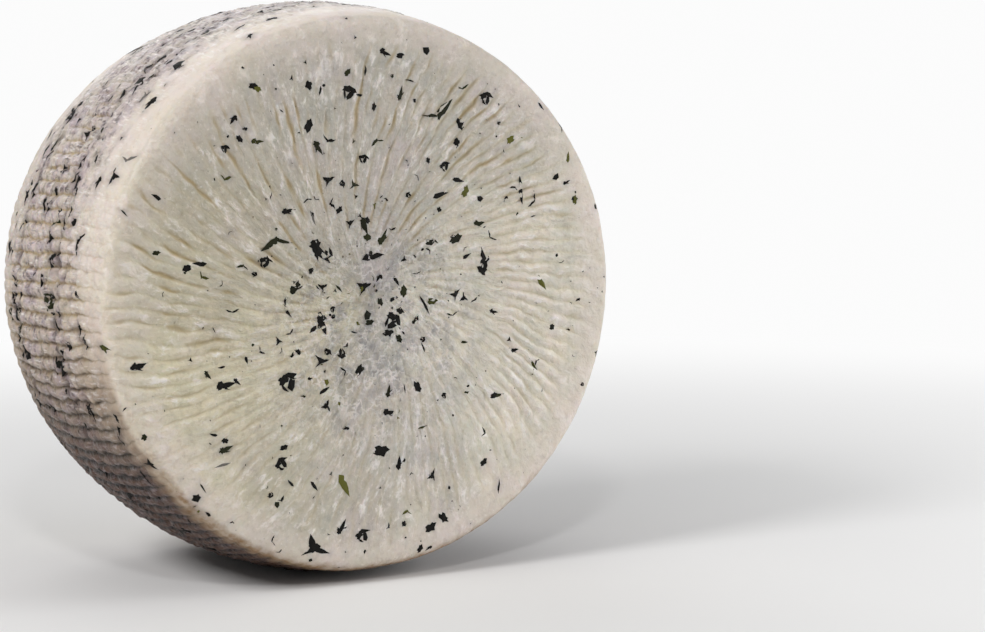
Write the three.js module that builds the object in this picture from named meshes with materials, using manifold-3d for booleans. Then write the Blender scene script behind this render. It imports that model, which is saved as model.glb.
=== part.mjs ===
// A small wheel of soft sheep's-milk cheese, standing on its rim.
//
// The wheel is one moulded piece. Its two faces are flat discs, its rim is slightly crowned like a
// barrel, and a broad rounded shoulder joins each face to the rim. The cheese is soft, so it has sagged
// a little: it is wider than it is tall, and it has settled onto a small flat patch of its rim.
//
// Units are millimetres, +Z is up, and the wheel's axis runs along Y with the front face towards -Y.
// The origin is on the surface that the wheel stands on, under the middle of the wheel.

import * as THREE from "three";
import { mergeVertices } from "three/addons/utils/BufferGeometryUtils.js";
import Module from "manifold-3d";

// Driving dimensions
const DIAMETER = 200; // the round wheel as it left its mould
const THICKNESS = 100; // from face to face
const FACE_DIAMETER = 178; // the flat part of a face, inside its shoulder
const SHOULDER_DEPTH = 18; // how far a shoulder reaches along the axis
const RIM_CROWN = 2.7; // how much lower the rim is at its shoulders than at its middle
const SHOULDER_EASE = 12; // how long the shoulder follows the slope of the rim
const EDGE_EASE = 6; // how long it follows the plane of the face, which sets how tight the edge is
const SAG = 0.0095; // share by which the wheel has spread sideways and sunk
const REST_PATCH_WIDTH = 28; // the flat patch, measured round the rim

// How finely the curves are faceted
const STEPS_ROUND = 96;
const STEPS_SHOULDER = 8;
const STEPS_RIM = 8;

// Worked out from the driving dimensions
const radius = DIAMETER / 2;
const halfThickness = THICKNESS / 2;
const rimHalfWidth = halfThickness - SHOULDER_DEPTH;
const shoulderRadius = radius - RIM_CROWN;
const rimEndSlope = (2 * RIM_CROWN) / rimHalfWidth;
const faceRadius = FACE_DIAMETER / 2;
const restHalfWidth = REST_PATCH_WIDTH / 2;
const tallRadius = radius * (1 - SAG);
const axisHeight = Math.sqrt(tallRadius ** 2 - restHalfWidth ** 2);

// The front shoulder, a curve that leaves the plane of the face and runs into the slope of the rim.
function shoulderPoints() {
  return new THREE.CubicBezierCurve(
    new THREE.Vector2(faceRadius, -halfThickness),
    new THREE.Vector2(faceRadius + EDGE_EASE, -halfThickness),
    new THREE.Vector2(
      shoulderRadius - rimEndSlope * SHOULDER_EASE,
      -rimHalfWidth - SHOULDER_EASE,
    ),
    new THREE.Vector2(shoulderRadius, -rimHalfWidth),
  ).getPoints(STEPS_SHOULDER);
}

// The crowned rim between the two shoulders, without its end points.
function rimPoints() {
  const points = [];
  for (let step = 1; step < STEPS_RIM; step += 1) {
    const share = (2 * step) / STEPS_RIM - 1;
    points.push(
      new THREE.Vector2(radius - RIM_CROWN * share ** 2, rimHalfWidth * share),
    );
  }
  return points;
}

// The wheel's half section, from the middle of the front face to the middle of the back one.
function wheelSection() {
  const front = shoulderPoints();
  const back = front.map((p) => new THREE.Vector2(p.x, -p.y)).reverse();
  return [
    new THREE.Vector2(0, -halfThickness),
    ...front,
    ...rimPoints(),
    ...back,
    new THREE.Vector2(0, halfThickness),
  ];
}

// A closed geometry as a manifold-3d solid, with only its positions kept and shared vertices merged.
function solidFrom(wasm, geometry) {
  const bare = geometry.clone();
  bare.deleteAttribute("normal");
  bare.deleteAttribute("uv");
  const merged = mergeVertices(bare, 1e-4);
  return new wasm.Manifold(
    new wasm.Mesh({
      numProp: 3,
      vertProperties: merged.attributes.position.array,
      triVerts: new Uint32Array(merged.index.array),
    }),
  );
}

// A manifold-3d solid as a geometry with flat normals.
function geometryFrom(solid) {
  const mesh = solid.getMesh();
  const geometry = new THREE.BufferGeometry()
    .setAttribute(
      "position",
      new THREE.BufferAttribute(mesh.vertProperties, mesh.numProp),
    )
    .setIndex(new THREE.BufferAttribute(mesh.triVerts, 1));
  geometry.computeVertexNormals();
  return geometry;
}

// The turned wheel, sagged, raised to its standing height and cut flat where it rests.
async function wheelGeometry() {
  const wasm = await Module();
  wasm.setup();
  const turned = new THREE.LatheGeometry(wheelSection(), STEPS_ROUND)
    .scale(1 + SAG, 1, 1 - SAG)
    .translate(0, 0, axisHeight);
  const belowSurface = new THREE.BoxGeometry(
    2 * DIAMETER,
    2 * THICKNESS,
    DIAMETER,
  ).translate(0, 0, -radius);
  return geometryFrom(
    solidFrom(wasm, turned).subtract(solidFrom(wasm, belowSurface)),
  );
}

const cheese = new THREE.MeshStandardMaterial({
  color: 0xe2dbc4,
  roughness: 0.45,
  metalness: 0,
});

const wheel = new THREE.Mesh(await wheelGeometry(), cheese);
wheel.name = "cheese_wheel";

const group = new THREE.Group();
group.add(wheel);

export default group;
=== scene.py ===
"""A small wheel of herbed sheep's-milk cheese standing on its rim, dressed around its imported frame.

The wheel was set in a woven basket mould. Its rim carries the mould's ribs, pressed into rows of beads. Its
two faces carry shallow folds that run out from the middle. Torn leaves of dried herb lie in the damp skin.

Lengths in the skin's formulas and in the leaf tables are in millimetres, and the formulas measure from the
middle of the wheel. Everything else is in metres. Directions round the wheel are in degrees, seen from the
front: 0 is right and 90 is up.
"""

import logging
import math
from dataclasses import dataclass, fields
from enum import Enum

import bpy
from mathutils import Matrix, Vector
from mathutils.kdtree import KDTree


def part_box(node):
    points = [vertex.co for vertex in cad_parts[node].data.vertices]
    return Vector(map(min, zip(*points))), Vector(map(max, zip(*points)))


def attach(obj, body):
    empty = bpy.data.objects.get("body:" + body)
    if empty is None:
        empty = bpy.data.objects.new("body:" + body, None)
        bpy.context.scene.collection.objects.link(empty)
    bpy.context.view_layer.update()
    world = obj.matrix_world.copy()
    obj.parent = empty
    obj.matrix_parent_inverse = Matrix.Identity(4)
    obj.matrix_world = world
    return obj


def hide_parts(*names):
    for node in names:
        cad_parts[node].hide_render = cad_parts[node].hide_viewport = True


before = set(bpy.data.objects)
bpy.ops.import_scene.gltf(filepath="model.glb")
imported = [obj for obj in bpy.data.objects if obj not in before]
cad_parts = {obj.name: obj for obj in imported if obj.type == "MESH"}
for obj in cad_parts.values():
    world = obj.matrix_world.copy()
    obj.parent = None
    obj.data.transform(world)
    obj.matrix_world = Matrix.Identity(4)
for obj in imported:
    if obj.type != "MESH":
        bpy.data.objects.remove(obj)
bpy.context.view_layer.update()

MM = 0.001
PER_SQUARE_CENTIMETRE = 10_000.0

# Directions round the wheel, in degrees.
TOP = 90.0
LEFT = 180.0
BOTTOM = 270.0

BODY = "root"
NODE = "cheese_wheel"

# The body is thinned to this many triangles.
MOST_TRIANGLES = 197_000

# Where the basket's two hoops pressed the rim, in millimetres behind the wheel's middle plane.
HOOP_PLACES = (-16.0, 21.0)

# Attributes: the plain wheel's surface under each point of the body, how near a leaf is, a leaf's shade, and
# how high a point of a leaf lies over the skin.
REST = "rest"
STAIN = "herb_stain"
TONE = "leaf_tone"
LIFT = "leaf_lift"

log = logging.getLogger("cheese_wheel")

Colour = tuple[float, float, float, float]


class TreeKind(Enum):
    """The two kinds of node tree that a formula can be written in."""

    SHADER = "ShaderNodeTree"
    GEOMETRY = "GeometryNodeTree"


class Zone(Enum):
    """The parts of the skin that get their own herb leaves."""

    FRONT = "front"
    RIM = "rim"
    BACK = "back"


class LeafForm(Enum):
    """The shapes that a dried leaf breaks into. A value is the form's place in the leaf collection."""

    CHIP = 0
    SHARD = 1
    STAR = 2
    CLUSTER = 3
    SPLINTER = 4
    BENT = 5
    CURL = 6
    RAGGED = 7
    CRUMB = 8


class Field:
    """One value inside a node tree, which formulas combine with ordinary operators."""

    def __init__(self, writer: "TreeWriter", socket: bpy.types.NodeSocket) -> None:
        """Keeps the socket that gives the value, and the writer of its tree."""
        self.writer = writer
        self.socket = socket

    def __add__(self, other: "Field | float") -> "Field":
        """The sum of two values."""
        return self.writer.math("ADD", self, other)

    def __radd__(self, other: float) -> "Field":
        """The sum of a number and this value."""
        return self.writer.math("ADD", other, self)

    def __sub__(self, other: "Field | float") -> "Field":
        """The difference of two values."""
        return self.writer.math("SUBTRACT", self, other)

    def __rsub__(self, other: float) -> "Field":
        """The difference of a number and this value."""
        return self.writer.math("SUBTRACT", other, self)

    def __mul__(self, other: "Field | float") -> "Field":
        """The product of two values."""
        return self.writer.math("MULTIPLY", self, other)

    def __rmul__(self, other: float) -> "Field":
        """The product of a number and this value."""
        return self.writer.math("MULTIPLY", other, self)

    def __truediv__(self, other: "Field | float") -> "Field":
        """The quotient of two values."""
        return self.writer.math("DIVIDE", self, other)

    def __pow__(self, power: float) -> "Field":
        """This value raised to a power."""
        return self.writer.math("POWER", self, power)

    def __abs__(self) -> "Field":
        """The size of this value without its sign."""
        return self.writer.math("ABSOLUTE", self)


Input = Field | float | int | str | tuple | bpy.types.ID | bpy.types.NodeSocket


class TreeWriter:
    """Writes nodes into one shader or geometry tree."""

    NOISE_MEAN = 0.5
    NOISE_GAIN = 2.6

    def __init__(self, tree: bpy.types.NodeTree) -> None:
        """Keeps the tree that the nodes go into."""
        self.tree = tree

    def put(self, socket: bpy.types.NodeSocket, value: Input) -> None:
        """Links a field or socket to an input, or sets a plain value on it.

        Args:
            socket: The input to feed.
            value: A field or socket to link, or a value to set.
        """
        if isinstance(value, Field):
            self.tree.links.new(value.socket, socket)
        elif isinstance(value, bpy.types.NodeSocket):
            self.tree.links.new(value, socket)
        else:
            socket.default_value = value

    def add(
        self, kind: str, inputs: dict[str | int, Input] | None = None, **settings: object
    ) -> bpy.types.Node:
        """Adds one node.

        Args:
            kind: The node's type name.
            inputs: What goes into its inputs, by name or by place.
            settings: The node's own properties.

        Returns:
            The new node.
        """
        node = self.tree.nodes.new(kind)
        for name, value in settings.items():
            setattr(node, name, value)
        for key, value in (inputs or {}).items():
            self.put(node.inputs[key], value)
        return node

    def field(self, node: bpy.types.Node, output: str | int = 0) -> Field:
        """One output of a node, as a field."""
        return Field(self, node.outputs[output])

    def math(self, operation: str, *values: Field | float) -> Field:
        """One step of arithmetic on up to three values."""
        return self.field(self.add("ShaderNodeMath", dict(enumerate(values)), operation=operation))

    def vector(self, operation: str, *values: Input, scale: Field | float | None = None) -> Field:
        """One step of vector arithmetic.

        Args:
            operation: The name of the step.
            values: The vectors that go in.
            scale: The factor of a SCALE step.

        Returns:
            The vector that comes out, or the number for a LENGTH or DOT_PRODUCT step.
        """
        inputs = dict(enumerate(values))
        if scale is not None:
            inputs["Scale"] = scale
        node = self.add("ShaderNodeVectorMath", inputs, operation=operation)
        return self.field(node, "Value" if operation in ("LENGTH", "DOT_PRODUCT") else "Vector")

    def split(self, vector: Field) -> tuple[Field, Field, Field]:
        """The three parts of a vector."""
        node = self.add("ShaderNodeSeparateXYZ", {0: vector})
        return self.field(node, 0), self.field(node, 1), self.field(node, 2)

    def join(self, x: Field | float, y: Field | float, z: Field | float) -> Field:
        """A vector from its three parts."""
        return self.field(self.add("ShaderNodeCombineXYZ", {0: x, 1: y, 2: z}))

    def smooth(self, value: Field, low: Field | float, high: Field | float) -> Field:
        """A soft step from 0 at low to 1 at high, which may also be the lower of the two."""
        if isinstance(low, float) and isinstance(high, float) and low > high:
            return 1.0 - self.smooth(value, high, low)
        inputs = {0: value, 1: low, 2: high}
        return self.field(self.add("ShaderNodeMapRange", inputs, interpolation_type="SMOOTHSTEP"))

    def blend(self, share: Field | float, first: Field | float, second: Field | float) -> Field:
        """A value between two others."""
        return self.field(self.add("ShaderNodeMix", {0: share, 2: first, 3: second}, data_type="FLOAT"))

    def noise(self, point: Field, size: float, detail: float = 2.0, roughness: float = 0.5) -> Field:
        """Smooth noise from about -1 to 1.

        Args:
            point: Where it is read.
            size: The width of one blot, in the point's own units.
            detail: How many finer layers it has.
            roughness: How strong those are.

        Returns:
            The noise, with a mean of 0.
        """
        inputs = {"Vector": point, "Scale": 1.0 / size, "Detail": detail, "Roughness": roughness}
        return (self.field(self.add("ShaderNodeTexNoise", inputs)) - self.NOISE_MEAN) * self.NOISE_GAIN

    def cells(self, point: Field, size: float, feature: str = "F1", randomness: float = 1.0) -> Field:
        """The distance to the nearest cell's middle, or to its edge, as a share of a cell.

        Args:
            point: Where it is read.
            size: The width of one cell, in the point's own units.
            feature: F1 or DISTANCE_TO_EDGE.
            randomness: How far the cells stray from a grid.

        Returns:
            The distance.
        """
        inputs = {"Vector": point, "Scale": 1.0 / size, "Randomness": randomness}
        return self.field(self.add("ShaderNodeTexVoronoi", inputs, feature=feature), "Distance")

    def random(self, low: Field | float, high: Field | float, seed: Field) -> Field:
        """A random number for each point."""
        node = self.add("FunctionNodeRandomValue", {2: low, 3: high, "Seed": seed}, data_type="FLOAT")
        return self.field(node, 1)

    def named(self, name: str, kind: str) -> Field:
        """A stored attribute."""
        return self.field(self.add("GeometryNodeInputNamedAttribute", {"Name": name}, data_type=kind))

    def store(self, geometry: Field, name: str, kind: str, value: Field) -> Field:
        """The geometry with one more attribute on its points.

        Args:
            geometry: The geometry.
            name: The attribute's name.
            kind: Its data type.
            value: Its value.

        Returns:
            The geometry.
        """
        inputs = {"Geometry": geometry, "Name": name, "Value": value}
        node = self.add("GeometryNodeStoreNamedAttribute", inputs, data_type=kind, domain="POINT")
        return self.field(node)

    def tint(self, share: Field | float, first: Field | Colour, second: Field | Colour) -> Field:
        """A colour between two others."""
        return self.field(self.add("ShaderNodeMix", {0: share, 6: first, 7: second}, data_type="RGBA"), 2)

    def toned(self, share: Field | float, first: Field, second: Field | Colour) -> Field:
        """The first colour, multiplied by the second as far as share says."""
        inputs = {0: share, 6: first, 7: second}
        return self.field(self.add("ShaderNodeMix", inputs, data_type="RGBA", blend_type="MULTIPLY"), 2)


def linear(red: int, green: int, blue: int) -> Colour:
    """A colour for a socket from the three numbers, 0 to 255, that a screen shows it with."""
    shares = (part / 255 for part in (red, green, blue))
    curve = [part / 12.92 if part <= 0.04045 else ((part + 0.055) / 1.055) ** 2.4 for part in shares]
    return (*curve, 1.0)


def made_plain(piece: bpy.types.Object, name: str) -> bpy.types.Object:
    """Bakes a piece's modifiers into a new mesh object and removes the old object.

    Args:
        piece: The object with live modifiers.
        name: The new object's name.

    Returns:
        The new object, at the origin and with no modifier.
    """
    depsgraph = bpy.context.evaluated_depsgraph_get()
    mesh = bpy.data.meshes.new_from_object(piece.evaluated_get(depsgraph), depsgraph=depsgraph)
    bpy.data.objects.remove(piece)
    mesh.name = name
    made = bpy.data.objects.new(name, mesh)
    bpy.context.scene.collection.objects.link(made)
    return made


def with_nodes(
    piece: bpy.types.Object, tree: bpy.types.NodeTree, values: dict[str, object]
) -> bpy.types.Object:
    """Puts a geometry tree on a piece and sets its inputs by their identifiers.

    Args:
        piece: The object to change.
        tree: The geometry node tree.
        values: The inputs' values by name.

    Returns:
        The same object.
    """
    modifier = piece.modifiers.new(tree.name, "NODES")
    modifier.node_group = tree
    for item in tree.interface.items_tree:
        if item.in_out == "INPUT" and item.name in values:
            modifier[item.identifier] = values[item.name]
    return piece


@dataclass(frozen=True)
class WheelShape:
    """The plain turned shape of the wheel, before the mould's relief.

    Attributes:
        half_width: Half of the wheel's width, in metres.
        half_thickness: Half of its thickness, in metres.
        height: Its height above the surface that it stands on, in metres.
        sag: How much wider and how much lower it has become, as a share of the radius.
        face_share: Where the flat face ends, as a share of the radius.
        crown_share: How far the rim's edges lie inside its middle, as a share of the radius.
        shoulder_ease_share: How softly the shoulder runs into the rim, as a share of the radius.
        edge_ease_share: How softly it runs into the face, as a share of the radius.
        shoulder_depth_share: How deep the shoulder is, as a share of half of the thickness.
        columns: How many columns of faces the rim has round it.
        fewest_columns_share: How many times fewer the ring nearest the middle may have.
        ring_step: The distance between rings on a face, in metres.
        rim_rows: How many rows the rim has across it.
        shoulder_rows: How many rows a shoulder has.
    """

    half_width: float
    half_thickness: float
    height: float
    sag: float = 0.0095
    face_share: float = 0.89
    crown_share: float = 0.027
    shoulder_ease_share: float = 0.12
    edge_ease_share: float = 0.06
    shoulder_depth_share: float = 0.36
    columns: int = 1216
    fewest_columns_share: int = 32
    ring_step: float = 0.0010
    rim_rows: int = 84
    shoulder_rows: int = 30

    @classmethod
    def from_frame(cls) -> "WheelShape":
        """The shape whose outer sizes are those of the wheel in the frame."""
        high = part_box(NODE)[1]
        return cls(half_width=high.x, half_thickness=high.y, height=high.z)

    @property
    def radius(self) -> float:
        """The radius that the wheel had before it sagged."""
        return self.half_width / (1 + self.sag)

    @property
    def centre(self) -> Vector:
        """The middle of the wheel."""
        return Vector((0.0, 0.0, self.height - self.radius * (1 - self.sag)))

    def shoulder(self) -> list[tuple[float, float]]:
        """The rounded shoulder between face and rim, as (reach, distance from the middle plane)."""
        half, radius = self.half_thickness, self.radius
        face = radius * self.face_share
        rim_half = half * (1 - self.shoulder_depth_share)
        end = radius * (1 - self.crown_share)
        ease = radius * self.shoulder_ease_share
        slope = 2 * radius * self.crown_share / rim_half
        corners = [
            Vector((face, half)),
            Vector((face + radius * self.edge_ease_share, half)),
            Vector((end - slope * ease, rim_half + ease)),
            Vector((end, rim_half)),
        ]
        points = []
        for step in range(1, self.shoulder_rows + 1):
            share = step / self.shoulder_rows
            rest = 1 - share
            weights = (rest**3, 3 * rest**2 * share, 3 * rest * share**2, share**3)
            point = sum((corner * weight for corner, weight in zip(corners, weights)), Vector((0, 0)))
            points.append((point.x, point.y))
        return points

    def reach_behind(self, behind: float) -> float:
        """The reach of the shoulder or rim at a distance behind the front face."""
        depth = self.half_thickness - behind
        return min(self.half_section(), key=lambda point: abs(point[1] - abs(depth)) - point[0] * MM)[0]

    def half_section(self) -> list[tuple[float, float]]:
        """The section from near the middle of a face to the middle of the rim."""
        face = self.radius * self.face_share
        rings = round(face / self.ring_step)
        points = [(face * ring / rings, self.half_thickness) for ring in range(1, rings + 1)]
        points += self.shoulder()
        rim_half = self.half_thickness * (1 - self.shoulder_depth_share)
        half_rows = self.rim_rows // 2
        for row in range(1, half_rows + 1):
            share = 1 - row / half_rows
            points.append((self.radius * (1 - self.crown_share * share**2), rim_half * share))
        return points

    def columns_at(self, reach: float) -> int:
        """How many columns a ring has: half as many each time its reach halves."""
        halvings = max(0, math.floor(math.log2(self.radius * self.face_share / reach) + 0.1))
        return max(self.columns // 2**halvings, self.columns // self.fewest_columns_share)

    def mesh(self, name: str) -> bpy.types.Mesh:
        """Builds the closed turned surface, sagged and pressed flat where it rests.

        Args:
            name: The mesh's name.

        Returns:
            The mesh, with its faces pointing out.
        """
        half = self.half_section()
        section = [(reach, -depth) for reach, depth in half] + list(reversed(half[:-1]))
        centre = self.centre
        points: list[tuple[float, float, float]] = [(0.0, -self.half_thickness, centre.z)]
        faces: list[tuple[int, ...]] = []
        rings = []
        for reach, depth in section:
            count = self.columns_at(reach)
            rings.append((len(points), count))
            for column in range(count):
                turn = 2 * math.pi * column / count
                across = reach * (1 + self.sag) * math.cos(turn)
                up = centre.z + reach * (1 - self.sag) * math.sin(turn)
                points.append((across, depth, max(up, 0.0)))
        points.append((0.0, self.half_thickness, centre.z))
        first, count = rings[0]
        faces += [(0, first + column, first + (column + 1) % count) for column in range(count)]
        for inner, outer in zip(rings, rings[1:]):
            faces += self.ring_faces(inner, outer)
        last, count = rings[-1]
        pole = len(points) - 1
        faces += [(last + column, pole, last + (column + 1) % count) for column in range(count)]
        mesh = bpy.data.meshes.new(name)
        mesh.from_pydata(points, [], faces)
        mesh.shade_smooth()
        return mesh

    @staticmethod
    def ring_faces(first: tuple[int, int], second: tuple[int, int]) -> list[tuple[int, ...]]:
        """The faces between two rings, of which one may have twice the other's columns.

        Args:
            first: The start and the count of the ring nearer the front.
            second: The same for the next ring.

        Returns:
            The faces, turned outwards.
        """
        (front, front_count), (back, back_count) = first, second
        faces: list[tuple[int, ...]] = []
        for column in range(min(front_count, back_count)):
            after = column + 1
            here, there = front + column, back + column
            here_after, there_after = front + after % front_count, back + after % back_count
            if front_count == back_count:
                faces.append((here, there, there_after, here_after))
            elif front_count < back_count:
                near, far = back + 2 * column, back + 2 * after % back_count
                middle = near + 1
                faces.append((here, near, middle))
                faces.append((here, middle, here_after))
                faces.append((here_after, middle, far))
            else:
                near, far = front + 2 * column, front + 2 * after % front_count
                middle = near + 1
                faces.append((near, there, middle))
                faces.append((middle, there, there_after))
                faces.append((middle, there_after, far))
        return faces


@dataclass(frozen=True)
class ReliefSizes:
    """How many ribs and folds the skin has and how deep they are. Depths and lengths are in millimetres.

    Each size is an input of the relief's node group, under its own name in capitals and spaces.
    """

    half_thickness: float = 50.0
    rib_count: float = 126.0
    rib_depth: float = 1.1
    rib_slant: float = -0.008
    bead_length: float = 6.5
    bead_depth: float = 1.7
    hoop_depth: float = 0.8
    fold_count: float = 27.0
    fold_depth: float = 0.8
    fold_twist: float = 0.24
    groove_depth: float = 0.28
    groove_width: float = 1.1
    lump_height: float = 0.5
    curd_height: float = 0.5

    def inputs(self) -> dict[str, float]:
        """The sizes under their inputs' names."""
        return {item.name.replace("_", " ").title(): getattr(self, item.name) for item in fields(self)}


@dataclass(frozen=True)
class SkinPoint:
    """What the relief's formulas know about a point of the skin.

    Attributes:
        place: Millimetres from the wheel's middle.
        depth: The distance along the wheel's axis.
        reach: The distance from the axis.
        turn: The angle round the axis.
        broad: Noise with blots of about 20 mm.
        fine: Noise with blots of about 5 mm.
    """

    BROAD_BLOT = 20.0
    FINE_BLOT = 5.0

    place: Field
    depth: Field
    reach: Field
    turn: Field
    broad: Field
    fine: Field

    @classmethod
    def read(cls, n: TreeWriter, place: Field) -> "SkinPoint":
        """Works the point's numbers out of its place.

        Args:
            n: The writer of the tree.
            place: Millimetres from the wheel's middle.

        Returns:
            The point.
        """
        x, depth, z = n.split(place)
        reach = n.math("SQRT", x * x + z * z)
        turn = n.math("ARCTAN2", z, x)
        return cls(place, depth, reach, turn, n.noise(place, cls.BROAD_BLOT), n.noise(place, cls.FINE_BLOT))

    def towards(self, n: TreeWriter, degrees: float) -> Field:
        """How far the point lies towards a direction round the axis, from -1 to 1."""
        return n.math("COSINE", self.turn - math.radians(degrees))


class Relief:
    """The mould's ribs and the skin's folds, in one formula that the mesh and the material both follow."""

    OUTPUTS = ("Height", "Face", "Rim", "Fold", "Groove", "Strand", "Rib", "Bead", "Hoop", "Reach")
    FACE_REACH = 89.0

    def __init__(self, sizes: ReliefSizes) -> None:
        """Keeps the sizes.

        Args:
            sizes: How many ribs and folds there are, and how deep they are.
        """
        self.sizes = sizes

    def group(self, kind: TreeKind) -> bpy.types.NodeTree:
        """Builds the relief as a node group.

        Args:
            kind: The kind of tree that the group is for.

        Returns:
            The group, with the sizes as inputs and heights and masks as outputs.
        """
        tree = bpy.data.node_groups.new(f"Mould relief, {kind.name.lower()}", kind.value)
        tree.interface.new_socket("Point", in_out="INPUT", socket_type="NodeSocketVector")
        for name, value in self.sizes.inputs().items():
            socket = tree.interface.new_socket(name, in_out="INPUT", socket_type="NodeSocketFloat")
            socket.default_value = value
        for name in self.OUTPUTS:
            tree.interface.new_socket(name, in_out="OUTPUT", socket_type="NodeSocketFloat")
        n = TreeWriter(tree)
        source = n.add("NodeGroupInput")
        size = {name: n.field(source, name) for name in self.sizes.inputs()}
        made = self.write(n, SkinPoint.read(n, n.field(source, "Point")), size)
        n.add("NodeGroupOutput", {name: made[name] for name in self.OUTPUTS})
        return tree

    def write(self, n: TreeWriter, point: SkinPoint, size: dict[str, Field]) -> dict[str, Field]:
        """Writes the whole relief.

        Args:
            n: The writer of the group's tree.
            point: The point of the skin.
            size: The group's size inputs.

        Returns:
            The group's outputs by name. Height is in millimetres, and the masks run from 0 to 1.
        """
        behind = size["Half Thickness"] - abs(point.depth)
        face = 1.0 - n.smooth(behind, 0.8, 4.5)
        strand, fold, groove = self.folds(n, point, size)
        inset = 4.0 * point.broad - 9.0 * n.smooth(point.towards(n, LEFT), 0.75, 0.97)
        edge = 1.0 - n.smooth(point.reach + inset, 78.0, 88.0)
        middle = n.smooth(point.reach, 8.0, 28.0)
        plump = n.smooth(point.towards(n, TOP + 28.0) + 0.4 * point.broad, 1.0, 0.45)
        patchy = n.smooth(n.noise(point.place, 16.0, 2.0), -0.7, 0.3)
        low = n.smooth(point.towards(n, BOTTOM - 2.0) + 0.3 * point.broad, 0.2, 0.9)
        plump = plump * n.blend(low, 1.0, 0.25)
        fold_share = face * edge * middle * n.blend(plump, 0.3, 1.0) * n.blend(patchy, 0.35, 1.0)
        creased = n.smooth(point.towards(n, TOP + 25.0) + 0.4 * point.broad, -0.6, 0.6)
        groove = groove * face * edge * middle * n.blend(creased, 0.25, 1.0)

        rib, bead, hoop = self.ribs(n, point, size)
        start = 5.0 + 24.0 * n.smooth(point.towards(n, TOP + 25.0), 0.35, 0.85) + 3.0 * point.broad
        ribbed = n.blend(n.smooth(point.towards(n, TOP + 2.0) + 0.3 * point.broad, 0.35, 0.9), 1.0, 0.3)
        fringe = n.smooth(behind, 0.8, 5.0) * n.smooth(point.towards(n, LEFT + 30.0), 0.3, 0.85) * 0.5
        rim = n.math("MAXIMUM", n.smooth(behind, start, start + 10.0) * ribbed, fringe)
        beaded = n.blend(n.smooth(n.noise(point.place, 12.0, 2.0), -0.4, 0.5), 0.25, 1.0)
        beaded = beaded * n.blend(n.smooth(point.towards(n, BOTTOM - 2.0), 0.1, 0.65), 1.0, 0.35)

        lumps = n.noise(point.place, 30.0, 3.0) * size["Lump Height"]
        curd = n.noise(point.place, 3.0, 3.0, 0.6) * face * n.smooth(point.reach, 62.0, 18.0)
        height = size["Fold Depth"] * (fold - 1.0) * fold_share - size["Groove Depth"] * groove
        height = height + 0.28 * strand * face * middle + 0.16 * n.noise(point.place, 3.5, 2.0)
        rim_height = size["Rib Depth"] * (rib - 1.0) + size["Bead Depth"] * (bead - 1.0) * beaded
        rim_height = rim_height - size["Hoop Depth"] * hoop
        inner = n.smooth(behind, 5.0, 26.0)
        knots = 0.85 * n.noise(point.place, 4.6, 3.0, 0.6) * inner
        height = height + rim_height * rim + knots + lumps + curd * size["Curd Height"]
        return {
            "Height": height,
            "Face": face,
            "Rim": rim,
            "Fold": n.blend(fold_share, 1.0, fold),
            "Groove": groove,
            "Strand": strand,
            "Rib": n.blend(rim, 1.0, rib),
            "Bead": n.blend(rim * beaded, 1.0, bead),
            "Hoop": hoop * rim,
            "Reach": point.reach,
        }

    def folds(self, n: TreeWriter, point: SkinPoint, size: dict[str, Field]) -> tuple[Field, Field, Field]:
        """The folds that run out from the middle of a face, twice as many each time the reach doubles.

        Args:
            n: The writer of the group's tree.
            point: The point of the skin.
            size: The group's size inputs.

        Returns:
            Fine strands that run the same way, from about -1 to 1; the folds' roundness, 0 in a groove and
            1 on top; and the mask of the thin grooves between them.
        """
        share = n.math("MAXIMUM", point.reach, 1.0) / self.FACE_REACH
        spiral = size["Fold Twist"] * n.math("LOGARITHM", share, math.e)
        swirl = point.turn + spiral + 0.02 * point.broad
        back = n.math("GREATER_THAN", point.depth, 0.0)
        phase = size["Fold Count"] * swirl / (2 * math.pi) + 0.37 * back
        phase = phase + 0.06 * point.broad + 0.02 * point.fine
        levels = []
        for doubling in (1.0, 2.0, 4.0):
            level = phase * doubling
            nearest = abs(level - n.math("ROUND", level))
            spacing = 2 * math.pi * point.reach / (size["Fold Count"] * doubling)
            plump = abs(n.math("SINE", level * math.pi)) ** 0.8
            index = n.math("FLOORED_MODULO", n.math("ROUND", level), size["Fold Count"] * doubling)
            along = n.noise(n.join(index * 7.31, point.reach / 16.0, back * 9.0 + doubling), 1.0, 1.0)
            width = size["Groove Width"] * n.blend(n.smooth(along, 0.0, 0.9), 0.8, 1.5)
            line = 1.0 - n.smooth(nearest * spacing, 0.15 * width, width)
            levels.append((plump, line * n.smooth(along, -0.2, 0.4)))
        near = n.smooth(point.reach + 7.0 * point.broad, 17.0, 31.0)
        far = n.smooth(point.reach + 9.0 * point.broad, 44.0, 62.0)
        fold = n.blend(far, n.blend(near, levels[0][0], levels[1][0]), levels[2][0])
        groove = n.blend(far, n.blend(near, levels[0][1], levels[1][1]), levels[2][1])
        aim = n.join(n.math("COSINE", swirl), n.math("SINE", swirl), 0.0)
        out = n.join(0.0, 0.0, point.reach / 7.5 + back * 5.0)
        waver = n.vector("SCALE", n.join(point.broad, point.fine, 0.0), scale=0.5)
        strands = []
        for count in (9.0, 20.0):
            spot = n.vector("ADD", n.vector("ADD", n.vector("SCALE", aim, scale=count), out), waver)
            strands.append(n.noise(spot, 1.0, 4.0, 0.68))
        strand = n.blend(n.smooth(point.reach, 24.0, 48.0), strands[0], strands[1])
        return strand, fold, groove

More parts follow.
